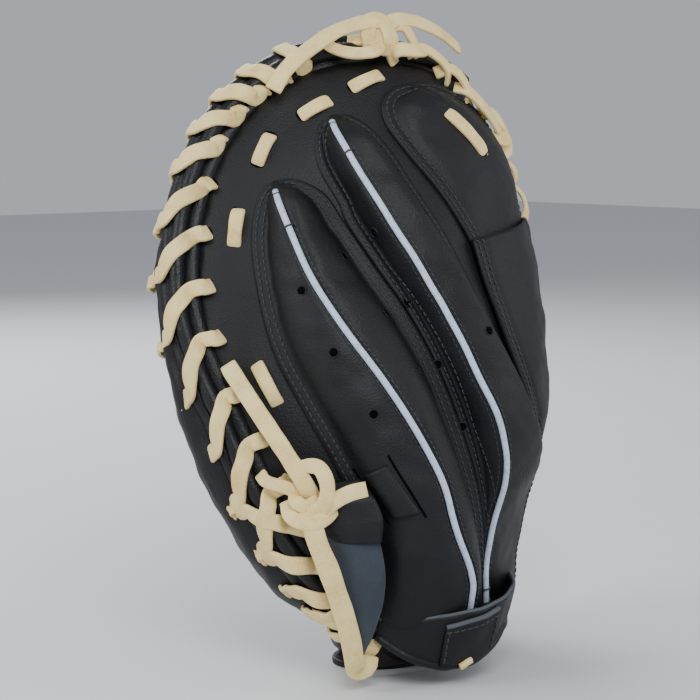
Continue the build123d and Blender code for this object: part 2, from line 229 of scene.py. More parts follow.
def pocket(x, z):
    bend, sweepUp = formValues["pocketBend"] * (x - 4) ** 2, formValues["pocketSweep"] * (z - 130) ** 2
    return -formValues["pocketDepth"] + bend + sweepUp


def turned(degrees):
    a, b, c = (radians(d) for d in degrees)
    rx = np.array([[1, 0, 0], [0, cos(a), -sin(a)], [0, sin(a), cos(a)]])
    ry = np.array([[cos(b), 0, sin(b)], [0, 1, 0], [-sin(b), 0, cos(b)]])
    rz = np.array([[cos(c), -sin(c), 0], [sin(c), cos(c), 0], [0, 0, 1]])
    return rx @ ry @ rz


def insideEgg(egg, points):
    centre, half, turn = egg
    own = (points - np.array(centre, float)) @ turned(turn) / np.array(half, float)
    return (own ** 2).sum(-1)


def insideMitt(points):
    # under 1 inside the mitt: two eggs and the heel
    heel = (points - np.array([12.0, 2, 20])) / np.array([42.0, 30, 30])
    eggs = np.minimum(insideEgg(shellEgg, points), insideEgg(thumbEgg, points))
    return np.minimum(eggs, (heel ** 2).sum(-1))


def around(radii, angles):
    # places at these distances and directions from the mitt's middle
    return mittMiddle[0] + radii * np.cos(angles), mittMiddle[1] + radii * np.sin(angles)


def reach(angle, surface):
    # how far out a surface stays inside the mitt's form, in one direction from the middle
    radii = np.linspace(20, 200, 361)
    x, z = around(radii, angle)
    held = insideMitt(np.stack([x, surface(x, z), z], -1)) < 1
    return radii[np.nonzero(held)[0][-1]] if held.any() else 20.0


def drawnIn(degrees):
    # the rim lies nearer to the stalls at the heel of the little finger
    return formValues["drawnIn"] * smooth((degrees - 162) / 40) * smooth((262 - degrees) / 24)


def palmBulge(degrees):
    # the pad stands out past the rim on the little finger side
    return formValues["palmBulge"] * smooth((degrees - 128) / 30) * smooth((258 - degrees) / 26)


def normals(surface, x, z):
    dx = (surface(x + 0.5, z) - surface(x - 0.5, z))
    dz = (surface(x, z + 0.5) - surface(x, z - 0.5))
    n = np.stack([dx, -np.ones_like(dx), dz], -1)
    return n / np.linalg.norm(n, axis=-1, keepdims=True)


def wobble(points, size, seed):
    # soft random unevenness, about -1 to 1
    waves = np.random.default_rng(seed)
    total = np.zeros(points.shape[:-1])
    for _ in range(14):
        direction = waves.normal(size=3)
        direction *= 2 * pi / size * waves.uniform(0.6, 1.7) / np.linalg.norm(direction)
        total += np.sin(points @ direction + waves.uniform(0, 2 * pi))
    return total / 4.5


def resample(points, count):
    # even steps along a line of points
    points = np.asarray(points, float)
    steps = np.r_[0, np.cumsum(np.linalg.norm(np.diff(points, axis=0), axis=1))]
    t = np.linspace(0, steps[-1], count)
    return np.stack([np.interp(t, steps, points[:, i]) for i in range(points.shape[1])], -1)


def curve(points, count):
    # smooth line through the points, in even steps
    p = np.asarray(points, float)
    p = np.vstack([2 * p[0] - p[1], p, 2 * p[-1] - p[-2]])
    line = []
    t = np.linspace(0, 1, 16, endpoint=False)[:, None]
    for a, b, c, d in zip(p, p[1:], p[2:], p[3:]):
        square, cube = 2 * a - 5 * b + 4 * c - d, 3 * b - a - 3 * c + d
        line.append(0.5 * (2 * b + (c - a) * t + square * t ** 2 + cube * t ** 3))
    return resample(np.vstack(line + [p[-2]]), count)


def toLine(points, line):
    # distance of each point from a line of segments
    best = np.full(points.shape[:-1], 1e9)
    for a, b in zip(line, line[1:]):
        d = b - a
        t = np.clip(((points - a) @ d) / max(d @ d, 1e-9), 0, 1)
        best = np.minimum(best, np.linalg.norm(points - a - t[..., None] * d, axis=-1))
    return best


def inPolygon(x, z, polygon):
    inside = np.zeros(np.shape(x), bool)
    for (x0, z0), (x1, z1) in zip(polygon, polygon[1:] + polygon[:1]):
        crosses = (z0 > z) != (z1 > z)
        with np.errstate(divide="ignore", invalid="ignore"):
            inside ^= crosses & (x < (x1 - x0) * (z - z0) / (z1 - z0 + 1e-12) + x0)
    return inside


# meshes
def meshPiece(name, verts, faces, material, side=None):
    mesh = bpy.data.meshes.new(name)
    mesh.from_pydata((np.asarray(verts, float) * 0.001).tolist(), [], faces)
    mesh.validate()
    edit = bmesh.new()
    edit.from_mesh(mesh)
    bmesh.ops.recalc_face_normals(edit, faces=edit.faces)
    edit.to_mesh(mesh)
    edit.free()
    mesh.shade_smooth()
    mesh.materials.append(material)
    piece = bpy.data.objects.new(name, mesh)
    scene.collection.objects.link(piece)
    if side:
        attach(piece, side)
    return piece


def bendWithFold(piece):
    centre, half = (foldLow + foldHigh) / 2, formValues["foldWidth"] * foldSide
    tuple((centre - half) * 0.001)
    tuple((centre + half) * 0.001)
    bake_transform(piece)


def gridFaces(rows, columns, first=0, ring=False):
    faces = []
    for i in range(rows - 1):
        for j in range(columns if ring else columns - 1):
            k = (j + 1) % columns
            faces.append((first + i * columns + j, first + i * columns + k,
                          first + (i + 1) * columns + k, first + (i + 1) * columns + j))
    return faces


def thickGrid(points, direction, thickness):
    # closed sheet: the grid, its underside and its edges
    rows, columns = points.shape[:2]
    under = points - direction * thickness
    verts = np.vstack([points.reshape(-1, 3), under.reshape(-1, 3)])
    size = rows * columns
    faces = gridFaces(rows, columns)
    faces += [tuple(size + v for v in reversed(f)) for f in gridFaces(rows, columns)]
    border = list(range(columns))
    border += [i * columns + columns - 1 for i in range(1, rows)]
    border += [(rows - 1) * columns + j for j in range(columns - 2, -1, -1)]
    border += [i * columns for i in range(rows - 2, 0, -1)]
    for v, w in zip(border, border[1:] + border[:1]):
        faces.append((w, v, size + v, size + w))
    return verts, faces


class Pile:
    # many small closed pieces, gathered into one mesh
    def __init__(self):
        self.verts = []
        self.faces = []
        self.count = 0

    def put(self, verts, faces):
        self.verts.append(np.asarray(verts, float))
        self.faces += [tuple(v + self.count for v in f) for f in faces]
        self.count += len(verts)

    def piece(self, name, material, slot, side=None):
        return meshPiece(name, np.vstack(self.verts), self.faces, material, side)


def sweep(pile, path, faceOut, section, scaleAlong=None):
    # closed solid along a path; section is a loop of (across, up) places
    path = np.asarray(path, float)
    along = np.gradient(path, axis=0)
    along /= np.linalg.norm(along, axis=1, keepdims=True)
    faceOut = np.asarray(faceOut, float) - along * (faceOut * along).sum(1, keepdims=True)
    faceOut /= np.linalg.norm(faceOut, axis=1, keepdims=True)
    across = np.cross(along, faceOut)
    size = np.ones(len(path)) if scaleAlong is None else scaleAlong
    n, m = len(path), len(section)
    rings = (path[:, None] + across[:, None] * section[None, :, :1] * size[:, None, None]
             + faceOut[:, None] * section[None, :, 1:] * size[:, None, None])
    faces = gridFaces(n, m, ring=True)
    faces.append(tuple(reversed(range(m))))
    faces.append(tuple((n - 1) * m + j for j in range(m)))
    pile.put(rings.reshape(-1, 3), faces)


def flatSection(width, thickness, count=16, crown=0.0):
    t = np.linspace(0, 2 * pi, count, endpoint=False) + pi / count
    x = np.sign(np.cos(t)) * np.abs(np.cos(t)) ** 0.35 * width / 2
    y = np.sign(np.sin(t)) * np.abs(np.sin(t)) ** 0.55 * thickness / 2
    return np.stack([x, y + crown * (1 - (2 * x / width) ** 2)], -1)


def roundSection(radius, count=12):
    t = np.linspace(0, 2 * pi, count, endpoint=False)
    return np.stack([np.cos(t), np.sin(t)], -1) * radius


laceShape = {"width": 7.8, "thickness": 2.2, "crown": 0.25, "unevenness": 0.045, "step": 1.1}


def lace(pile, points, outs, width=laceShape["width"], wrinkle=0.0, seed=1):
    # a flat rawhide lace through the points, its face turned along outs
    points, step = np.asarray(points, float), laceShape["step"]
    count = max(12, int(np.linalg.norm(np.diff(points, axis=0), axis=1).sum() / step))
    both = curve(np.hstack([points, np.asarray(outs, float) * 6]), count)
    path, facing = both[:, :3], both[:, 3:] / 6
    uneven = 1 + laceShape["unevenness"] * wobble(path, 14, seed)
    if wrinkle:
        waves = np.sin(np.arange(count) * step / 2.3 * 2 * pi + wobble(path, 12, seed))[:, None]
        path = path + facing / np.linalg.norm(facing, axis=1, keepdims=True) * (wrinkle * waves)
    sweep(pile, path, facing, flatSection(width, laceShape["thickness"], crown=laceShape["crown"]), uneven)


def stitches(pile, path, up, pitch=3.3, length=2.5, radius=0.36, lift=0.18):
    # a row of short threads along a path on a surface
    path, up = np.asarray(path, float), np.asarray(up, float)
    total = np.linalg.norm(np.diff(path, axis=0), axis=1).sum()
    count = max(2, int(total / pitch))
    if total <= pitch:
        return
    section = roundSection(radius, 6)
    share = length / pitch
    steps = np.r_[0, np.cumsum(np.linalg.norm(np.diff(path, axis=0), axis=1))]
    for k in range(count):
        t = (k + np.array([0.0, 0.18, 0.5, 0.82, 1.0]) * share) * total / count
        place = np.stack([np.interp(t, steps, path[:, i]) for i in range(3)], -1)
        away = np.stack([np.interp(t, steps, up[:, i]) for i in range(3)], -1)
        place = place + away * (np.array([-0.35, lift * 0.8, lift * 1.2, lift * 0.8, -0.35])[:, None])
        sweep(pile, place, away, section)


def disc(pile, centre, up, radius, stretch=1.0, along=None, height=0.25, sides=16):
    # a low round disc; near-black, it is the painted shade inside a hole
    up = np.asarray(up, float) / np.linalg.norm(up)
    along = np.array([0, 0, 1.0]) if along is None else np.asarray(along, float)
    along = along - up * (along @ up)
    along /= np.linalg.norm(along)
    across = np.cross(along, up)
    t = np.linspace(0, 2 * pi, sides, endpoint=False)[:, None]
    ring = across * np.cos(t) * radius + along * np.sin(t) * radius * stretch
    verts = np.vstack([np.asarray(centre) + ring - up * 0.6, np.asarray(centre) + ring + up * height,
                       [np.asarray(centre) + up * height]])
    faces = [(j, (j + 1) % sides, sides + (j + 1) % sides, sides + j) for j in range(sides)]
    faces += [(sides + j, sides + (j + 1) % sides, 2 * sides) for j in range(sides)]
    faces.append(tuple(reversed(range(sides))))
    pile.put(verts, faces)


print("tools ready")

# back skin
def rimRadius(angle):
    degrees = np.degrees(angle)
    thumbSide = smooth((70 - degrees) / 12) if degrees < 150 else smooth((degrees - 300) / 10)
    return reach(angle, lambda x, z: skinBack(x, z) + 8 + 4 * thumbSide)


skinValues = {"thickness": 2.4, "rows": 40, "columns": 300, "innerShare": 0.03, "unevenness": 0.55}
angles = np.linspace(0, 2 * pi, skinValues["columns"], endpoint=False)
rims = np.array([rimRadius(t) for t in angles]) - drawnIn(np.degrees(angles))
for _ in range(3):
    rims = (np.roll(rims, 1) + rims * 2 + np.roll(rims, -1)) / 4
shares = np.linspace(1.0, skinValues["innerShare"], skinValues["rows"])[:, None]
x, z = around(shares * rims, angles)
webGap = [(58, 330), (60, 262), (71, 236), (76, 206), (84, 197), (93, 205), (100, 222), (125, 240)]
n = normals(skinBack, x, z)
skin = np.stack([x, skinBack(x, z), z], -1)
edge = (1 - shares) * rims
rough = skinValues["unevenness"] * wobble(skin, 46, 3) * smooth(edge / 12)
skin = skin + n * (rough - 1.3 * smooth(1 - edge / 5))[..., None]
skin[..., 2] = np.maximum(skin[..., 2], 1.0)
inner = skin - n * skinValues["thickness"]
inner[..., 2] = np.maximum(inner[..., 2], 1.0)
rows, columns = skin.shape[:2]
faces = gridFaces(rows, columns, ring=True)
# the wrist's mouth, cut so that its edge stays under the stalls
mouth = (x > -40) & (x < 48 - 14 * smooth((z - 26) / 14)) & (z < 80)
dropped = (mouth | inPolygon(x, z, webGap)).reshape(-1)
kept = [f for f in faces if not any(dropped[v] for v in f)]
size = rows * columns
edges = {}
for f in kept:
    for v, w in zip(f, f[1:] + f[:1]):
        edges[(v, w)] = True
walls = [(w, v, size + v, size + w) for v, w in edges if (w, v) not in edges]
faces = kept + [tuple(size + v for v in reversed(f)) for f in kept] + walls
backSkin = meshPiece("back_skin", np.vstack([skin.reshape(-1, 3), inner.reshape(-1, 3)]), faces, backLeather)
edit = bmesh.new()
edit.from_mesh(backSkin.data)
bmesh.ops.delete(edit, geom=[v for v in edit.verts if not v.link_faces], context="VERTS")
edit.to_mesh(backSkin.data)
edit.free()
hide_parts("back_band_fingers", "back_band_thumb")
bendWithFold(backSkin)
print("back skin")

# finger stalls
stallValues = {
    "ring": {"rise": 15.5, "flange": 8.0, "lip": 1.7, "trough": 0.0, "thickness": 2.2, "rows": 96,
             "columns": 22},
    "middle": {"rise": 17.0, "flange": 8.0, "lip": 1.7, "trough": 2.2, "thickness": 2.2, "rows": 104,
               "columns": 22},
    "thumb": {"rise": 9.5, "flange": 7.0, "lip": 1.7, "trough": 0.0, "thickness": 2.2, "rows": 80,
              "columns": 18},
    "index": {"rise": 7.5, "flange": 7.0, "lip": 1.9, "trough": 0.0, "thickness": 2.2, "rows": 60,
              "columns": 22},
    "hood": {"rise": 7.0, "flange": 6.0, "lip": 3.6, "trough": 0.0, "thickness": 2.2, "rows": 60,
             "columns": 22},
}
stitchRows = (2.3, 5.3)   # how far the two rows of thread lie from a stall's edge
valley = [(24, 22), (20, 30), (17, 39), (10, 55), (2, 85), (-9, 119), (-17, 146), (-26, 173), (-33, 191),
          (-39, 211)]
stallLines = {
    "ring": ([(-45, 24), (-49, 34), (-51, 60), (-54, 84), (-61, 107), (-68, 129), (-73, 151), (-74, 173),
              (-72, 196), (-69, 210), (-65, 221), (-61, 228), (-57, 231)],
             [(-5, 19), (-6, 36), (-10, 56), (-18, 75), (-24, 98), (-32, 119), (-41, 141), (-50, 163),
              (-56, 185), (-58, 209), (-58, 224), (-57, 231)],
             valley + [(-42, 224), (-47, 230), (-52, 232), (-57, 231)]),
    "middle": ([(x + 0.4, z) for x, z in valley]
               + [(-39, 221), (-41, 236), (-39, 248), (-34, 257), (-28, 261)],
               [(17, 24), (12, 40), (10, 58), (9, 77), (8, 96), (3, 119), (-5, 142), (-13, 167), (-21, 192),
                (-27, 214), (-31, 239), (-31, 252), (-28, 261)],
               [(48, 28), (50, 38), (50, 55), (48, 80), (42, 107), (29, 134), (15, 163), (6, 188), (-1, 211),
                (-7, 229), (-11, 245), (-16, 256), (-22, 261), (-28, 261)]),
    "thumb": ([(56, 12), (52, 34), (51, 56), (54, 84), (63, 116), (72, 156), (78, 184), (85, 199), (92, 204)],
              [(62, 12), (63, 40), (68, 70), (78, 104), (87, 146), (92, 184), (92, 204)],
              [(70, 14), (79, 50), (90, 80), (99, 108), (105, 138), (108, 164), (106, 188), (100, 201),
               (92, 204)]),
    "index": ([(22, 160), (17, 182), (14, 200), (9, 214), (3, 228), (-4, 242), (-8, 255), (-6, 266), (2, 273),
               (14, 276)],
              [(50, 160), (48, 182), (44, 204), (38, 224), (30, 244), (22, 262), (14, 276)],
              [(76, 160), (76, 182), (75, 204), (75, 220), (72, 238), (65, 253), (54, 264), (38, 272),
               (26, 276), (14, 276)]),
    "hood": ([(57, 104), (46, 117), (34, 134), (24, 152), (18, 169), (14, 185), (13, 203)],
             [(62, 102), (58, 122), (52, 145), (48, 168), (46, 187), (45, 207)],
             [(67, 102), (70, 122), (73, 146), (75, 168), (76, 190), (75, 211)]),
}


def buildStall(name):
    values = stallValues[name]
    surface = thumbBack if name == "thumb" else back
    left, seam, right = (curve(line, values["rows"]) for line in stallLines[name])
    columns = values["columns"]
    share = np.linspace(0, 1, columns)[None, :, None]
    flat = np.concatenate([left[:, None] * (1 - share) + seam[:, None] * share,
                           (seam[:, None] * (1 - share) + right[:, None] * share)[:, 1:]], 1)
    x, z = flat[..., 0], flat[..., 1]
    at = np.stack([x, surface(x, z), z], -1)
    outline = [np.array([p[0], surface(p[0], p[1]), p[1]]) for p in np.vstack([left, right[::-1]])[::2]]
    if name == "hood":
        outlineLeft = [np.array([p[0], surface(p[0], p[1]), p[1]]) for p in left[::2]]
        outlineRight = [np.array([p[0], surface(p[0], p[1]), p[1]]) for p in right[::2]]
        distance = np.minimum(toLine(at, outlineLeft), toLine(at, outlineRight))
    else:
        distance = toLine(at, outline)
    flange, lip = values["flange"], values["lip"]
    crest = distance[:, columns - 1][:, None]
    flange = np.minimum(flange, crest * 0.45)
    inner = np.clip((distance - flange) / np.maximum(crest - flange, 1.5), 0, 1)
    full = (values["rise"] - lip) * smooth((crest - 1) / 14)
    if name != "index":
        full = full * (0.72 + 0.28 * smooth((z - 22) / 45))
    if name == "index":
        full = full * smooth((z - 202) / 34)
    round_ = np.sqrt(1 - (1 - inner) ** 2)
    height = lip + full * (0.80 * round_ + 0.20 * smooth(inner))
    onLeft = (np.arange(flat.shape[1]) < columns - 1)[None, :]
    if values["trough"]:
        dip = np.exp(-((distance - flange - 1.5) / 3.0) ** 2) * values["trough"] * smooth((z - 30) / 60) * onLeft
        height = height - dip * smooth((crest - flange) / 6)
    # the leather is drawn down under the piping and round off at the edge
    fromSeam = np.abs(np.arange(flat.shape[1]) - (columns - 1))[None, :] * crest / columns
    if name in ("ring", "middle", "thumb"):
        height = height - 1.3 * np.exp(-(fromSeam / 2.4) ** 2) * smooth((crest - flange) / 8)
    height = height - 0.55 * np.exp(-(distance / 0.9) ** 2)
    for s in stitchRows:
        height = height - 0.22 * np.exp(-((distance - s) / 0.55) ** 2)
    n = normals(surface, x, z)
    body = at + n * height[..., None]
    soft = smooth((distance - flange) / 8)
    body = body + n * (soft * (0.55 * wobble(at, 34, 11) + 0.22 * wobble(at, 13, 12)))[..., None]
    # true direction of the domed leather
    du, dv = np.gradient(body, axis=1), np.gradient(body, axis=0)
    facing = np.cross(du, dv)
    facing /= np.maximum(np.linalg.norm(facing, axis=-1, keepdims=True), 1e-9)
    facing *= np.sign((facing * n).sum(-1, keepdims=True) + 1e-9)
    blunt = np.linalg.norm(facing, axis=-1, keepdims=True) < 0.5
    facing = np.where(blunt, n, facing)
    return {"body": body, "facing": facing, "base": n, "flat": flat, "distance": distance, "columns": columns,
            "values": values}


def onStall(stall, x, z):
    gap = (stall["flat"][..., 0] - x) ** 2 + (stall["flat"][..., 1] - z) ** 2
    k = np.unravel_index(np.argmin(gap), gap.shape)
    return stall["body"][k], stall["facing"][k]


def rowAt(stall, depth, side, start=0.0, end=1.0):
    # path along a stall at a set distance from its sewn edge
    columns = stall["columns"]
    path, up = [], []
    for i in range(stall["body"].shape[0]):
        if side < 0:
            d, p, n = stall["distance"][i, :columns], stall["body"][i, :columns], stall["facing"][i, :columns]
        else:
            d, p, n = (stall[k][i, ::-1][:columns] for k in ("distance", "body", "facing"))
        if d.max() <= depth:
            continue
        k = np.argmax(d > depth)
        t = 0 if k == 0 else (depth - d[k - 1]) / (d[k] - d[k - 1])
        path.append(p[k] if k == 0 else p[k - 1] * (1 - t) + p[k] * t)
        up.append(n[k] if k == 0 else n[k - 1] * (1 - t) + n[k] * t)
    path, up = np.array(path), np.array(up)
    low, high = int(start * len(path)), int(end * len(path))
    return path[low:high], up[low:high]


def besideSeam(stall, step, side, start=0.0, end=1.0):
    body, facing, columns = stall["body"], stall["facing"], stall["columns"]
    path, up = [], []
    for i in range(body.shape[0]):
        line = body[i, columns - 1::-1] if side < 0 else body[i, columns - 1:]
        ns = facing[i, columns - 1::-1] if side < 0 else facing[i, columns - 1:]
        run = np.r_[0, np.cumsum(np.linalg.norm(np.diff(line, axis=0), axis=1))]
        if run[-1] < step:
            continue
        path.append([np.interp(step, run, line[:, k]) for k in range(3)])
        up.append([np.interp(step, run, ns[:, k]) for k in range(3)])
    path, up = np.array(path), np.array(up)
    low, high = int(start * len(path)), int(end * len(path))
    return path[low:high], up[low:high]


stalls = {name: buildStall(name) for name in stallValues}
stallNodes = {"ring": ("ring_stall_outer", "ring_stall_inner"),
              "middle": ("middle_stall_outer", "middle_stall_inner"),
              "thumb": ("thumb_stall_outer", "thumb_stall_inner"),
              "index": ("index_stall",), "hood": ("finger_hood",)}
threads = {"finger_side": Pile(), "thumb_side": Pile()}
for name, stall in stalls.items():
    side = "thumb_side" if name == "thumb" else "finger_side"
    verts, faces = thickGrid(stall["body"], stall["base"], stall["values"]["thickness"])
    piece = meshPiece(name + "_panel", verts, faces, panelLeather, side)
    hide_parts(*stallNodes[name])
    for depth in stitchRows:
        for edgeSide in (-1, 1):
            if name == "hood" and edgeSide > 0:
                continue
            path, up = rowAt(stall, depth, edgeSide)
            stitches(threads[side], path, up)
    if name in ("ring", "middle", "thumb"):
        stitches(threads[side], *besideSeam(stall, 3.4, 1, 0.02, 0.93), pitch=2.9, length=2.2)
        stitches(threads[side], *besideSeam(stall, 3.2, -1, 0.02, 0.86), pitch=2.9, length=2.2,
                 radius=0.26, lift=0.05)
print("stalls")

pipingValues = {"radius": 1.55, "height": 0.5}
for name in ("ring", "middle", "thumb"):
    stall = stalls[name]
    side = "thumb_side" if name == "thumb" else "finger_side"
    columns = stall["columns"]
    rows = slice(2, stall["body"].shape[0] - 1)
    path = stall["body"][rows, columns - 1] + stall["base"][rows, columns - 1] * pipingValues["height"]
    count = 150
    both = curve(np.hstack([path[::3], stall["base"][rows, columns - 1][::3]]), count)
    pile = Pile()
    section = roundSection(pipingValues["radius"], 12) * np.array([1.0, 0.85])
    sweep(pile, both[:, :3], both[:, 3:], section)
    piece = pile.piece(name + "_piping_cord", pipingLeather, "piping", side)
    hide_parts(name + "_piping")
    # thread bars that hold the piping near its ends
    for k in (5, int(count * 0.06), int(count * 0.90), int(count * 0.985)):
        centre, up = both[k, :3], both[k, 3:] / np.linalg.norm(both[k, 3:])
        along = both[k + 1, :3] - both[k - 1, :3] if k < count - 1 else both[k, :3] - both[k - 1, :3]
        across = np.cross(along / np.linalg.norm(along), up)
        t = np.linspace(-1, 1, 9)[:, None]
        bar = centre + across * t * 2.6 + up * (1.65 - 1.9 * t ** 2)
        sweep(threads[side], bar, np.repeat(up[None], 9, 0) + across * t, roundSection(0.42, 6))
print("piping")

# vent holes: a near-black disc in each is painted shade, with a rolled leather rim round it
ventValues = {"radius": 2.0}
vents = {"ring": [(-60, 180), (-55, 154), (-46, 127), (-43, 195), (-35, 171), (-25, 146)],
         "middle": [(-31, 205), (-25, 177), (-19, 149), (-10, 121), (-9, 214), (3, 160)],
         "thumb": [(70, 110), (79, 145), (90, 110), (99, 150)]}
ventPaintedShade = {"finger_side": Pile(), "thumb_side": Pile()}
ventRims = {"finger_side": Pile(), "thumb_side": Pile()}
for name, places in vents.items():
    side = "thumb_side" if name == "thumb" else "finger_side"
    for px, pz in places:
        centre, up = onStall(stalls[name], px, pz)
        up = up / np.linalg.norm(up)
        # near-black disc: painted shade for the vent hole's inside
        disc(ventPaintedShade[side], centre, up, ventValues["radius"], height=0.10)
        t = np.linspace(0, 2 * pi, 17)[:, None]
        a = np.cross(up, [0, 0, 1.0])
        a /= np.linalg.norm(a)
        b = np.cross(up, a)
        ring = centre + (a * np.cos(t) + b * np.sin(t)) * (ventValues["radius"] + 0.25) - up * 0.05
        sweep(ventRims[side], ring, np.repeat(up[None], 17, 0), roundSection(0.42, 6))
for side, pile in ventPaintedShade.items():
    pile.piece("vent_painted_shade_" + side, paintedHoleShade, "black_leather", side)
    ventRims[side].piece("vent_rims_" + side, panelLeather, "black_leather", side)
print("vents")

# palm
palmValues = {"columns": 288, "wallRows": 26, "pocketRows": 44, "start": 13.0, "crestSmoothing": 9,
              "creases": 1.1, "ring": 6.5,
              "thickness": 3.0}
angles = np.linspace(0, 2 * pi, palmValues["columns"], endpoint=False)
degreesRound = np.degrees(angles)
webZone = smooth((degreesRound - 34) / 8) * smooth((70 - degreesRound) / 8)
wall = []
for k in range(palmValues["wallRows"]):
    share = k / (palmValues["wallRows"] - 1)
    radii = []
    for t, zone in zip(angles, webZone):
        s = share + (1 - share) * 0.86 * zone
        radii.append(reach(t, lambda x, z: (1 - s) * (skinBack(x, z) + palmValues["start"]) + s
                           * pocket(x, z)))
    radii = np.array(radii) - drawnIn(degreesRound) * (1 - share) ** 1.4
    # the web joins the tips of the index finger and the thumb in a straight line
    low, high = np.searchsorted(degreesRound, (33, 71))
    ends = [np.array([cos(angles[i]), sin(angles[i])]) * radii[i] for i in (low, high)]
    chord = ends[1] - ends[0]
    for i in range(low + 1, high):
        ray = np.array([cos(angles[i]), sin(angles[i])])
        radii[i] = (ends[0][0] * chord[1] - ends[0][1] * chord[0]) / (ray[0] * chord[1] - ray[1] * chord[0])
    for _ in range(4):
        radii = (np.roll(radii, 1) + radii * 2 + np.roll(radii, -1)) / 4
    s = share + (1 - share) * 0.86 * webZone
    x, z = 10 + radii * np.cos(angles), 146 + radii * np.sin(angles)
    wall.append(np.stack([x, (1 - s) * (skinBack(x, z) + palmValues["start"]) + s * pocket(x, z), z], -1))
crestRadii = radii
rows = []
for share in np.linspace(1, 0.0, palmValues["pocketRows"] + 1)[1:-1]:
    x, z = 10 + share * crestRadii * np.cos(angles), 146 + share * crestRadii * np.sin(angles)
    # a thick padded ring round the pocket, with a fold inside it
    ring = palmValues["ring"] * np.sin(pi * np.clip((share - 0.70) / 0.30, 0, 1)) * (1 - 0.8 * webZone)
    ring = ring - 1.8 * np.exp(-((share - 0.68) / 0.035) ** 2) * (1 - webZone)
    rows.append(np.stack([x, pocket(x, z) + ring, z], -1))
palm = np.array(wall + rows)
crestRow = palmValues["wallRows"]
for _ in range(palmValues["crestSmoothing"]):
    part = palm[crestRow - 8:crestRow + 9].copy()
    palm[crestRow - 7:crestRow + 8] = (part[:-2] + 2 * part[1:-1] + part[2:]) / 4
palm[..., 2] = np.where(palm[..., 2] < 6, 2 + 4 * np.exp((palm[..., 2] - 6) / 4), palm[..., 2])
bulge = palmBulge(degreesRound)
shareDown = np.clip(np.arange(len(palm)) / palmValues["wallRows"], 0, 1)
bulge = bulge[None] * (np.sin(pi * shareDown ** 0.8) ** 0.9)[:, None]
palm[..., 0] += bulge * np.cos(angles)
palm[..., 2] += bulge * np.sin(angles)
du = np.roll(palm, -1, axis=1) - np.roll(palm, 1, axis=1)
dv = np.gradient(palm, axis=0)
palmOut = np.cross(dv, du)
palmOut /= np.maximum(np.linalg.norm(palmOut, axis=-1, keepdims=True), 1e-9)
if palmOut[-5, 0, 1] < 0:
    palmOut = -palmOut
firm = smooth(np.arange(len(palm))[:, None] / 5)
folds = 0.9 * wobble(palm, 40, 21) + 0.35 * wobble(palm, 13, 22)
radial = np.sin(angles * 23 + 1.5 * wobble(palm, 60, 23)) * np.exp(-((np.arange(len(palm))[:, None]
                                                                      - crestRow) / 6) ** 2)
palm = palm + palmOut * (firm * palmValues["creases"] * (folds + 0.35 * radial))[..., None]
under = palm - palmOut * palmValues["thickness"]
under[..., 2] = np.maximum(under[..., 2], 2.4)
rowsCount, columns = palm.shape[:2]
size = rowsCount * columns
verts = np.vstack([palm.reshape(-1, 3), under.reshape(-1, 3),
                   palm[-1].mean(0)[None], under[-1].mean(0)[None]])
faces = gridFaces(rowsCount, columns, ring=True)
faces += [tuple(size + v for v in reversed(f)) for f in gridFaces(rowsCount, columns, ring=True)]
for j in range(columns):
    k = (j + 1) % columns
    faces.append((k, j, size + j, size + k))
    faces.append(((rowsCount - 1) * columns + j, (rowsCount - 1) * columns + k, 2 * size))
    faces.append((size + (rowsCount - 1) * columns + k, size + (rowsCount - 1) * columns + j, 2 * size + 1))
palmPiece = meshPiece("palm", verts, faces, palmLeather)
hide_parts("palm_leather_fingers", "palm_leather_thumb", "palm_pad_fingers", "palm_pad_thumb")
bendWithFold(palmPiece)
print("palm")

# lining of the hand room, seen through the wrist's mouth
x, z = np.meshgrid(np.linspace(-38, 38, 24), np.linspace(4, 120, 36))
lining = np.stack([x, skinBack(x, z) + 17.5, z], -1)
verts, faces = thickGrid(lining, np.array([0, -1.0, 0]), -1.4)
piece = meshPiece("hand_lining", verts, faces, liningLeather)
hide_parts("palm_lining_fingers", "palm_lining_thumb")
bendWithFold(piece)


# rim: welts and lace
def rimFrame(egg, surface, degrees):
    def place(angle):
        near, out = 5.0, 260.0
        for _ in range(34):
            r = (near + out) / 2
            x, z = egg[0][0] + r * cos(angle), egg[0][2] + r * sin(angle)
            p = np.array([x, surface(x, z) + 10.2, z])
            near, out = (r, out) if insideEgg(egg, p) < 1 else (near, r)
        r -= drawnIn(np.degrees(angle)) if egg is shellEgg else 0
        x, z = egg[0][0] + r * cos(angle), egg[0][2] + r * sin(angle)
        return np.array([x, surface(x, z) + 10.2, z])

    p, ahead = place(radians(degrees)), place(radians(degrees + 1))
    turn, half = turned(egg[2]), np.array(egg[1], float)
    out = turn @ (((p - np.array(egg[0], float)) @ turn) / half ** 2)
    out /= np.linalg.norm(out)
    along = (ahead - p) / np.linalg.norm(ahead - p)
    over = np.cross(along, out)
    return p, out, along * np.sign(over[1]), over * np.sign(over[1])


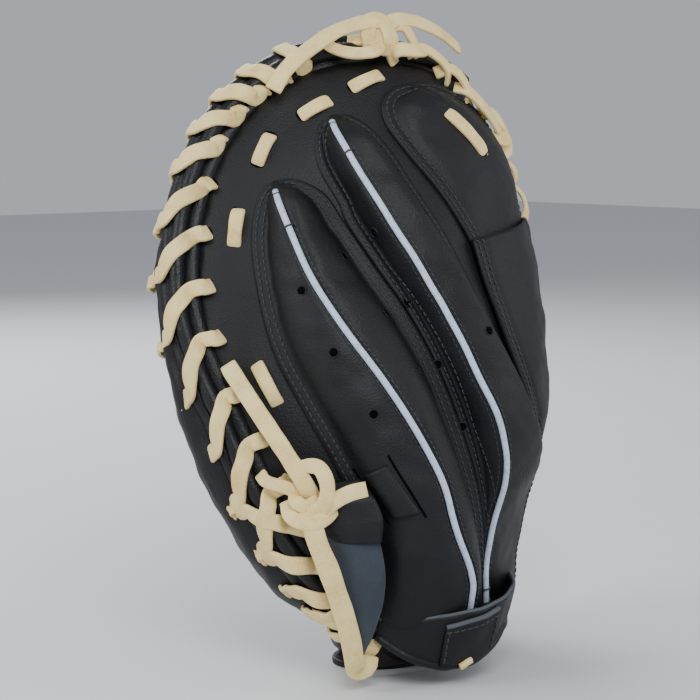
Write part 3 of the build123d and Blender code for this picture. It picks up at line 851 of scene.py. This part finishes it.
weltValues = {"radius": 4.0, "out": 5.0, "apart": 4.2, "pinch": 0.08}
rimSides = {"fingers": (shellEgg, back, 70, 246), "thumb": (thumbEgg, thumbBack, -84, 84)}
for end, (egg, surface, first, last) in rimSides.items():
    side = "finger_side" if end == "fingers" else "thumb_side"
    frames = [rimFrame(egg, surface, t) for t in np.arange(first, last, 2.0)]
    for name, away in (("back_welt_", -weltValues["apart"]), ("palm_welt_", weltValues["apart"])):
        path = np.array([p + out * weltValues["out"] + over * away for p, out, along, over in frames])
        path[:, 2] = np.maximum(path[:, 2], 4.4)
        ups = np.array([out for p, out, along, over in frames])
        both = curve(np.hstack([path, ups]), 260)
        pile = Pile()
        uneven = 1 + weltValues["pinch"] * wobble(both[:, :3], 17, 31 if away < 0 else 32)
        sweep(pile, both[:, :3], both[:, 3:], roundSection(weltValues["radius"], 18), uneven)
        piece = pile.piece(name + end + "_roll", weltLeather, "black_leather", side)
        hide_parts(name + end)

    # the folded edge of the shell that fills the space behind the welts
    pile = Pile()
    path = np.array([p - out * 2.2 for p, out, along, over in frames])
    path[:, 2] = np.maximum(path[:, 2], 8)
    both = curve(np.hstack([path, np.array([out for p, out, along, over in frames])]), 200)
    sweep(pile, both[:, :3], both[:, 3:], roundSection(1.0, 18) * np.array([10.4, 6.6]))
    pile.piece("rim_core_" + end, weltLeather, "black_leather", side)

rimLaces = {"finger_side": Pile(), "thumb_side": Pile()}
holePaintedShade = {"finger_side": Pile(), "thumb_side": Pile()}


def onBack(x, z, height=0.0, surface=back):
    return np.array([x, surface(x, z), z]) + normals(surface, np.array(float(x)), np.array(float(z))) * height


def rimLoop(side, egg, surface, hole, fromAngle, toAngle, seed):
    # from a hole in the back, over both welts, into a hole in the palm leather
    n = normals(surface, np.array(float(hole[0])), np.array(float(hole[1])))
    spots, outs = [], []
    stations = [(2.0, -9.2), (6.4, -9.3), (9.8, -6.4), (10.6, -2.6), (10.4, 1.6), (9.9, 6.3), (7.4, 9.4),
                (3.6, 12.2),
                (1.6, 15.0), (-2.0, 17.0)]
    for k, (o, v) in enumerate(stations):
        t = min(1.0, (k + 1.5) / 5.5) + 0.12 * max(0, k - 4) / 5
        angle = fromAngle + (toAngle - fromAngle) * t
        p, out, along, over = rimFrame(egg, surface, angle)
        if egg is shellEgg and k > 5:
            o += palmBulge(angle) * (0.15, 0.40, 0.60, 0.60)[k - 6]
        spots.append(p + out * o + over * v)
        direction = out * (o - 2.5) + over * v
        outs.append(direction / np.linalg.norm(direction))
    start = onBack(*hole, 0, surface)
    inward = start - spots[1]
    inward = inward / np.linalg.norm(inward)
    entry = [start + inward * 1.6 - n * 3.0, start + inward * 0.4 - n * 0.4, start + n * 1.3 - inward * 1.8,
             start * 0.55 + spots[0] * 0.45 + n * 2.0]
    lace(rimLaces[side], entry + spots, [n, n, n, (n + outs[0]) / 2] + outs, seed=seed)
    across = np.cross(inward, n)
    # near-black disc at the hole: painted shade for its inside
    disc(holePaintedShade[side], start + inward * 0.9, n, 1.7, stretch=2.0, along=across, height=0.12)


loops = [((-26.7, 289.9), 106), ((-36.7, 279.5), 113), ((-46.6, 273.5), 119), ((-56.7, 265.1), 126),
         ((-67.2, 251.2), 134), ((-75.8, 230.1), 145), ((-82.2, 207.4), 157), ((-86.1, 183.5), 171),
         ((-87.2, 160.8), 185), ((-85.6, 135.9), 199), ((-79.9, 116.5), 211), ((-74.2, 97.4), 222),
         ((-65.4, 74.8), 214), ((-58.1, 57.3), 225), ((-51.5, 36.4), 233), ((-47.8, 27.1), 239)]
for k, (hole, outer) in enumerate(loops):
    start = np.degrees(atan2(hole[1] - 146, hole[0] - 10)) % 360
    rimLoop("finger_side", shellEgg, back, hole, start, outer, 40 + k)
thumbAngles = np.arange(74.0, -80, -2)
thumbRim = np.array([rimFrame(thumbEgg, thumbBack, t)[0] for t in thumbAngles])
thumbRun = np.r_[0, np.cumsum(np.linalg.norm(np.diff(thumbRim, axis=0), axis=1))]
for k, run in enumerate(np.arange(6, thumbRun[-1] - 6, 17.5)):
    angle, ahead = np.interp((run, run + 9), thumbRun, thumbAngles)
    p, out, along, over = rimFrame(thumbEgg, thumbBack, angle)
    hole = (p[0] - out[0] * 9, p[2] - out[2] * 9)
    rimLoop("thumb_side", thumbEgg, thumbBack, hole, angle, ahead, 60 + k)
heelLaces = Pile()
for k, angle in enumerate((240, 244, 248)):
    p, out, along, over = rimFrame(shellEgg, back, angle)
    spots, outs = [], []
    for o, v in [(-2, -9), (2.6, -9.2), (6.4, -9.3), (10.0, -6.2), (10.8, -2.6), (10.6, 1.6), (9.9, 6.3),
                 (7.4, 9.4),
                 (3.6, 12.2), (-1.0, 14.0)]:
        spots.append(p + out * o + over * v + along * (k - 1) * 1.5)
        direction = out * (o - 2.5) + over * v
        outs.append(direction / np.linalg.norm(direction))
        spots[-1][2] = max(spots[-1][2], 2.2)
    lace(heelLaces, spots, outs, width=6.0, seed=80 + k)
heelPiece = heelLaces.piece("heel_lace_turns", laceLeather, "rawhide", "finger_side")
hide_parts("heel_lace")
for side, end in (("finger_side", "fingers"), ("thumb_side", "thumb")):
    piece = rimLaces[side].piece("rim_lace_turns_" + end, laceLeather, "rawhide", side)
    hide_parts("rim_lace_" + end)
print("rim")

# slot stitches of lace
bandLace = Pile()
slotPlaces = [(None, (-60, 239), (-52, 252)), (None, (-76, 202), (-71, 218)), (None, (-79, 149), (-75, 131)),
              (None, (-39, 261), (-26, 268)), (None, (-15, 274), (1, 280)), ("index", (22, 259), (34, 240))]
for k, (under, first, last) in enumerate(slotPlaces):
    line = [np.array(first) * (1 - t) + np.array(last) * t for t in (-0.06, 0.06, 0.3, 0.55, 0.8, 0.94, 1.06)]
    spots, outs = [], []
    if under:
        (low, up), (high, _) = onStall(stalls[under], *first), onStall(stalls[under], *last)
    for t, p, h in zip((-0.06, 0.06, 0.3, 0.55, 0.8, 0.94, 1.06), line,
                       (-2.6, 0.2, 1.5, 1.9, 1.5, 0.2, -2.6)):
        if under:
            spot = low * (1 - t) + high * t
        else:
            spot, up = onBack(*p), normals(back, np.array(p[0]), np.array(p[1]))
        spots.append(spot + up * h)
        outs.append(up)
    lace(bandLace, spots, outs, width=6.6, seed=90 + k)
    along = (spots[-1] - spots[0]) / np.linalg.norm(spots[-1] - spots[0])
    across = np.cross(along, outs[0])
    # near-black discs at both ends of the slot: painted shade for the holes
    for spot, up, push in ((spots[1], outs[1], -1), (spots[-2], outs[-2], 1)):
        disc(holePaintedShade["finger_side"], spot - up * 0.2 + along * push * 0.9, up, 1.9, stretch=1.9,
             along=across, height=0.15)
piece = bandLace.piece("slot_laces", laceLeather, "rawhide", "finger_side")
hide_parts("band_lace")

# knots and tails at the top
topLace = Pile()


def laceOn(pile, places, **options):
    spots = [onBack(x, z, h) for x, z, h in places]
    outs = [normals(back, np.array(float(x)), np.array(float(z))) for x, z, h in places]
    lace(pile, spots, outs, **options)


laceOn(topLace, [(12, 296, 6), (6, 299, 10), (-11, 295, 11), (-25, 287, 11), (-37, 278, 10), (-45, 269, 8)],
       seed=101)
laceOn(topLace, [(4, 291, 5), (8, 296, 9), (14, 299, 11), (24, 299, 11), (37, 295, 10), (50, 289, 8)],
       seed=102)
laceOn(topLace, [(-16, 295, 1), (-16, 289, 6), (-11, 285, 9), (-3, 285, 10), (2, 289, 8), (0, 294, 4),
                 (-6, 296, 0)],
       width=6.4, seed=103)
laceOn(topLace, [(1, 289, 2), (0, 294, 8), (3, 299, 11), (8, 299, 11), (9, 292, 9), (8, 288, 2)], seed=104)
laceOn(topLace, [(9, 287, 0), (10, 287, 8), (16, 286, 9.5), (22, 287, 8), (24, 290, 1)], seed=105)
laceOn(topLace, [(9, 293, 3), (13, 297, 9), (18, 296, 10), (22, 291, 6), (25, 289, 1)], width=6.0, seed=106)
laceOn(topLace, [(20, 290, 0), (26, 290, 5), (32, 286, 6), (36, 280, 6), (39, 276, 0)], width=6.0, seed=107)
laceOn(topLace, [(33, 281, 0), (38, 280, 6), (43, 275, 6.5), (47, 269, 4), (48, 265, -1)], width=6.6,
       seed=108)
laceOn(topLace, [(42, 274, 1), (46, 270, 5), (53, 262, 6), (59, 254, 6), (64, 247, 5), (67, 241, 0)],
       width=8.4, seed=109)
laceOn(topLace, [(57, 262, 1), (63, 259, 5.5), (69, 252, 6.5), (69, 244, 6), (63, 241, 2)], width=7.6,
       seed=110)
laceOn(topLace, [(55, 250, 0), (61, 247, 6.5), (67, 248, 7.5), (73, 250, 2)], width=7.6, seed=111)
laceOn(topLace, [(73, 240, -3), (74.5, 236, 3), (76, 229, 3.4), (77, 224, -3)], width=7.4, seed=112)
laceOn(topLace, [(79, 228, 0), (80, 221, 4), (78, 213, 4.4), (75, 206, 0)], width=6.8, seed=113)
laceOn(topLace, [(77, 203, -2), (78, 200, 2.4), (77.5, 195, 2.6), (77, 191, -2)], width=5.6, seed=114)
topLace.piece("top_lace_knots", laceLeather, "rawhide", "finger_side")
print("top laces")

# adjuster: leaf, knot and lace
adjuster = Pile()
laceOn(adjuster, [(-67, 90, 7), (-69, 97, 10), (-74, 111, 10), (-80, 128, 9), (-85, 144, 7), (-86, 148, 6)],
       width=8.0,
       seed=121)
laceOn(adjuster, [(-70, 84, 5), (-65, 83, 12), (-61, 89, 14), (-56, 93, 14), (-50, 95, 14)], width=7.6,
       seed=122)
laceOn(adjuster, [(-72, 98, 5), (-69, 104, 10), (-64, 104, 14), (-62, 96, 15), (-64, 87, 14), (-69, 83, 11),
                  (-74, 85, 6)],
       width=7.0, seed=123)
laceOn(adjuster, [(-75, 88, 5), (-73, 82, 11), (-67, 80, 14), (-62, 84, 13), (-60, 90, 8)], width=7.0,
       seed=124)
laceOn(adjuster, [(-70, 93, 3), (-72, 90, 10), (-69, 87, 12), (-65, 89, 9)], width=6.6, seed=125)
laceOn(adjuster, [(-82, 100, 4), (-80, 97, 7), (-75, 95, 8), (-70, 92, 7)], width=6.0, seed=127)
laceOn(adjuster, [(-68, 88, 11), (-66, 74, 14), (-62, 60, 14.5), (-58, 46, 14.5), (-54, 32, 14),
                  (-51, 20, 13),
                  (-49, 13, 11), (-45, 13, 8), (-44, 17, 5)], width=9.4, wrinkle=0.28, seed=126)
knotPiece = adjuster.piece("adjuster_lace_knot", laceLeather, "rawhide", "finger_side")
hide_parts("adjuster_lace")


def strip(left, right, heights, columns, bulge):
    # leather leaf between two lines of (x, z), with the height of each side off the back
    count = 40
    a, b = curve(left, count), curve(right, count)
    u = np.linspace(0, 1, columns)[None, :, None]
    flat = a[:, None] * (1 - u) + b[:, None] * u
    x, z = flat[..., 0], flat[..., 1]
    low = np.interp(np.linspace(0, 1, count), np.linspace(0, 1, len(heights)), [h[0] for h in heights])[:,
                                                                                                        None]
    high = np.interp(np.linspace(0, 1, count), np.linspace(0, 1, len(heights)), [h[1] for h in heights])[:,
                                                                                                         None]
    h = low * (1 - u[..., 0]) + high * u[..., 0] + bulge * np.sin(pi * u[..., 0])
    n = normals(back, x, z)
    points = np.stack([x, back(x, z), z], -1) + n * h[..., None]
    return points + n * (0.3 * wobble(points, 15, 33))[..., None], n


points, n = strip([(-65, 84), (-63, 70), (-61, 58), (-58, 46), (-54, 33), (-48.5, 22)],
                  [(-49, 84), (-46.5, 74), (-44.5, 62), (-44, 50), (-45.5, 36), (-48, 22)],
                  [(7, 15), (8, 17), (9, 17), (10, 14.5)], 16, 1.6)
verts, faces = thickGrid(points, n, 2.4)
leaf = meshPiece("adjuster_leaf", verts, faces, suede, "finger_side")
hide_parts("adjuster_tab")
points, n = strip([(-68, 96), (-66, 88), (-64, 78), (-60, 71)],
                  [(-52, 99), (-48, 92), (-45.5, 83), (-46, 73)],
                  [(3, 9), (8, 17), (9.5, 18.6), (9.8, 18.4)], 16, 1.6)
verts, faces = thickGrid(points, n, 1.6)
meshPiece("adjuster_leaf_fold", verts, faces, backLeather, "finger_side")
print("adjuster")

# strap keeper on the ring stall
corners = np.array([[-51.5, 100.5], [-42, 106], [-32, 86], [-42, 82]])
u, v = np.meshgrid(np.linspace(0, 1, 14), np.linspace(0, 1, 22))
centreUp = onStall(stalls["ring"], -42, 94)[1]
middle = np.array([onStall(stalls["ring"], *c)[0] for c in corners])
plane = ((1 - v)[..., None] * ((1 - u)[..., None] * middle[0] + u[..., None] * middle[1])
         + v[..., None] * ((1 - u)[..., None] * middle[3] + u[..., None] * middle[2]))
lift = -1.4 + 5.2 * np.maximum(np.sin(pi * u), 0) ** 0.4 + 0.9 * np.sin(pi * v)
keeper = plane + centreUp * lift[..., None]
verts, faces = thickGrid(keeper, centreUp, 2.0)
keeperPiece = meshPiece("strap_keeper_loop", verts, faces, panelLeather, "finger_side")
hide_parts("strap_keeper")
# near-black strips on the stall where the keeper's slits are cut: painted shade
slitPaintedShade = Pile()
for first, last in (((-54, 103), (-42.5, 79.5)), ((-43, 109.5), (-30.5, 83))):
    share = np.linspace(0, 1, 30)
    line = [onStall(stalls["ring"], *(np.array(first) * (1 - t) + np.array(last) * t)) for t in share]
    spots, ups = np.array([p for p, n in line]), np.array([n for p, n in line])
    spots = np.vander(share, 4) @ np.polyfit(share, spots, 3)   # one smooth cut, not the steps of the grid
    ups = np.vander(share, 2) @ np.polyfit(share, ups, 1)
    sweep(slitPaintedShade, spots + ups * 0.25, ups, flatSection(1.1, 0.5, 8))
slitPaintedShade.piece("keeper_slit_painted_shade", paintedHoleShade, "black_leather", "finger_side")

# wrist
wristValues = {"rise": 17.6, "halfWidth": 44.0, "middle": -3.0, "thickness": 2.6}


def wristHeight(x):
    share = (x - wristValues["middle"]) / wristValues["halfWidth"]
    return np.maximum(wristValues["rise"] * (1 - share ** 2), 2.0)


def wristGrid(xs, low, high, rows, extra):
    x = np.repeat(np.asarray(xs, float)[None], rows, 0)
    t = np.linspace(0, 1, rows)[:, None]
    z = low(x) * (1 - t) + high(x) * t
    n = normals(skinBack, x, z)
    points = np.stack([x, skinBack(x, z), z], -1) + n * (wristHeight(x) + extra)[..., None]
    return points + n * (0.35 * wobble(points, 22, 41))[..., None], n


def wristLow(x):
    return 15.0 + np.minimum(9.0 * ((x + 14) / 26) ** 2, 12.0)


def cuffTop(x):
    return 36 + 9 * np.sin((x + 30) / 60 * 1.4)


points, n = wristGrid(np.linspace(-42, 66, 70), wristLow, cuffTop, 20, 0)
verts, faces = thickGrid(points, n, wristValues["thickness"])
cuff = meshPiece("wrist_cuff", verts, faces, backLeather)
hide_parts("wrist_band_fingers", "wrist_band_thumb")
bendWithFold(cuff)
edges = Pile()
sweep(edges, points[-1] - n[-1] * 0.9, n[-1], flatSection(1.9, 1.5, 10))
cuffEdge = edges.piece("wrist_cuff_edge", rawEdge, "black_leather")
bendWithFold(cuffEdge)
binding = Pile()
sweep(binding, points[0] - n[0] * 1.0, n[0], roundSection(2.1, 12))
bindingPiece = binding.piece("wrist_binding_roll", weltLeather, "black_leather")
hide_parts("wrist_binding")
bendWithFold(bindingPiece)
patch, n = wristGrid(np.linspace(-19, 4, 26), lambda x: wristLow(x) + 1.5, lambda x: 34 + 0.28 * (x + 19),
                     16, 2.0)
verts, faces = thickGrid(patch, n, 2.2)
patchPiece = meshPiece("wrist_strap_patch", verts, faces, panelLeather, "finger_side")
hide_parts("wrist_patch")
patchEdge = Pile()
sweep(patchEdge, patch[-1] - n[-1] * 0.9, n[-1], flatSection(2.2, 1.9, 10))
patchEdge.piece("wrist_patch_edge", rawEdge, "black_leather", "finger_side")
for line, ups in ((patch[1:-1, 1], n[1:-1, 1]), (patch[1:-1, -2], n[1:-1, -2]), (patch[-3], n[-3])):
    stitches(threads["finger_side"], line, ups)
# a short cream strip on the wrist binding, where a bright glint shows: painted highlight
paintedGlint = Pile()
spots = np.array([onBack(x, z, 0) for x, z in ((-11, 16), (-9.5, 17), (-8, 18.2), (-6.5, 19))])
ups = normals(back, spots[:, 0], spots[:, 2])
lace(paintedGlint, spots + ups * (wristHeight(spots[:, 0]) + 2.2)[:, None], ups, width=3.0, seed=130)
paintedGlint.piece("wrist_binding_painted_glint", laceLeather, "rawhide", "finger_side")

# web and heel
webAngles = np.radians(np.linspace(38, 66, 30))
shares = np.linspace(0.60, 0.985, 30)[:, None]
radii = np.interp(webAngles, angles, crestRadii)
x, z = 10 + shares * radii * np.cos(webAngles), 146 + shares * radii * np.sin(webAngles)
front = np.stack([x, pocket(x, z) + 2.2, z], -1)
n = -normals(pocket, x, z)
verts, faces = thickGrid(front + n * 0.6, n, 2.6)
webFront = meshPiece("web_panel", verts, faces, panelLeather)
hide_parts("web_fingers", "web_thumb")
bendWithFold(webFront)
webThread = Pile()
for line, ups in ((front[:, 1], n[:, 1]), (front[:, 3], n[:, 3]), (front[:, -2], n[:, -2]),
                  (front[:, -4], n[:, -4]),
                  (front[1], n[1]), (front[-2], n[-2])):
    stitches(webThread, line + ups * 0.6, ups)
piece = webThread.piece("web_stitches", thread, "black_leather")
bendWithFold(piece)
shares = np.linspace(0.5, 0.99, 34)[:, None]
wide = np.radians(np.linspace(30, 74, 40))
radii = np.interp(wide, angles, crestRadii)
x, z = 10 + shares * radii * np.cos(wide), 146 + shares * radii * np.sin(wide)
rear = np.stack([x, pocket(x, z) - 7.0, z], -1)
verts, faces = thickGrid(rear, normals(pocket, x, z), 2.0)
webRear = meshPiece("web_rear", verts, faces, backLeather)
bendWithFold(webRear)
rimTube = Pile()
angleLine = np.radians(np.linspace(32, 72, 60))
radii = np.interp(angleLine, angles, crestRadii)
x, z = 10 + radii * np.cos(angleLine), 146 + radii * np.sin(angleLine)
tubePath = np.stack([x, pocket(x, z) - 2.5, z], -1)
sweep(rimTube, tubePath, np.repeat([[0, 1.0, 0]], 60, 0), roundSection(3.6, 14))
webBinding = rimTube.piece("web_binding", weltLeather, "black_leather")
bendWithFold(webBinding)
webLace = Pile()
for column, push in ((0, -1), (-1, 1)):
    for k in range(2, 28, 4):
        p = front[k, column] + n[min(k, 29), column] * 0.5
        along = (front[k + 1, column] - front[k - 1, column]) / np.linalg.norm(front[k + 1, column]
                                                                               - front[k - 1, column])
        up = n[k, column]
        across = np.cross(along, up)
        spots = [p + across * d + along * d * 0.5 + up * h for d,
                 h in ((-7, -3), (-5, 1.2), (0, 2.4), (5, 1.2), (7, -3))]
        lace(webLace, spots, [up] * 5, width=5.6, seed=140 + k)
for k in range(3, 28, 5):
    p = front[-1, k] + n[-1, k] * 0.5
    along = (front[-1, k + 1] - front[-1, k - 1]) / np.linalg.norm(front[-1, k + 1] - front[-1, k - 1])
    outward = np.cross(along, n[-1, k])
    outward *= np.sign(outward @ (p - np.array([10, p[1], 146])))
    spots = [p - outward * 7 - n[-1, k] * 2, p - outward * 5 + n[-1, k] * 1.6,
             p + outward * 0.5 + n[-1, k] * 2.6,
             p + outward * 4.6 - n[-1, k] * 1.5, p + outward * 5.2 - n[-1, k] * 6,
             p - outward * 0.5 - n[-1, k] * 11,
             p - outward * 6 - n[-1, k] * 10.5]
    outs = [n[-1, k], n[-1, k], n[-1, k] + outward * 0.5, outward + n[-1, k] * 0.3, outward - n[-1, k] * 0.3,
            -n[-1, k] + outward * 0.4, -n[-1, k]]
    lace(webLace, spots, outs, width=5.8, seed=160 + k)
piece = webLace.piece("web_lacing", laceLeather, "rawhide")
bendWithFold(piece)
# walls of the gap under the web
gapLine = resample(np.array([(57, 275)] + webGap[1:-1] + [(108, 228)], float), 80)
t = np.linspace(0, 1, 10)[:, None]
x, z = np.repeat(gapLine[None, :, 0], 10, 0), np.repeat(gapLine[None, :, 1], 10, 0)
y = skinBack(x, z) * (1 - t) + (pocket(x, z) - 6) * t + 0.5
centre = np.array([84.0, 240.0])
away = np.stack([x - centre[0], 0 * x, z - centre[1]], -1)
away /= np.linalg.norm(away, axis=-1, keepdims=True)
ruled = np.stack([x, y, z], -1)
inForm = insideMitt(ruled).max(0) < 1.05
keptColumns = np.nonzero(inForm)[0]
ruled, away = ruled[:, keptColumns], away[:, keptColumns]
verts, faces = thickGrid(ruled, -away, 2.0)
gapWall = meshPiece("web_gap_wall", verts, faces, backLeather)
bendWithFold(gapWall)

bpy.ops.mesh.primitive_cylinder_add(vertices=96, radius=1.0, depth=0.003, location=(0.004, 0.002, 0.0015))
heelSole = bpy.context.object
heelSole.name = "heel_sole"
heelSole.scale = (0.031, 0.022, 1.0)
bpy.ops.object.transform_apply(location=True, rotation=False, scale=True)
bevel = heelSole.modifiers.new("soft edge", "BEVEL")
bevel.width = 0.0006
bevel.segments = 2
bpy.ops.object.modifier_apply(modifier="soft edge")
heelSole.data.materials.append(panelLeather)
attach(heelSole, "finger_side")
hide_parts("heel_patch")
print("web and heel")

for side, pile in threads.items():
    pile.piece("stitching_" + side, thread, "black_leather", side)
# near-black discs at the lace holes and slots: painted shade
for side, pile in holePaintedShade.items():
    if pile.count:
        pile.piece("lace_hole_painted_shade_" + side, paintedHoleShade, "black_leather", side)

# floor and light
bpy.ops.mesh.primitive_plane_add(size=8, location=(0, 0, 0))
floor = bpy.context.object
floor.name = "floor"
floorMaterial, shader, wire, place = newMaterial("floor", Roughness=0.8,
                                                 Base_Color=colour((0.62, 0.63, 0.65)))
floor.data.materials.append(floorMaterial)
world = bpy.data.worlds.new("studio")
scene.world = world
world.use_nodes = True
studioValues = {"colour": (0.80, 0.84, 0.90, 1), "strength": 0.55}
background = world.node_tree.nodes["Background"]
background.inputs["Color"].default_value = studioValues["colour"]
background.inputs["Strength"].default_value = studioValues["strength"]
lamps = {"key": ((-0.9, -1.3, 1.3), 0.9, 26.0), "side": ((-1.5, 0.5, 0.9), 0.9, 16.0),
         "fill": ((1.1, -1.2, 0.7), 1.2, 10.0), "pocket": ((0.5, 1.5, 1.1), 1.0, 26.0)}
for name, (spot, width, power) in lamps.items():
    bpy.ops.object.light_add(type="AREA", location=spot)
    lamp = bpy.context.object
    lamp.name = name
    lamp.data.size = width
    lamp.data.energy = power
    direction = np.array([0, 0, 0.15]) - np.array(spot)
    lamp.rotation_euler = (atan2(np.hypot(direction[0], direction[1]), -direction[2]), 0,
                           atan2(direction[1], direction[0]) - pi / 2)
print("stage set")
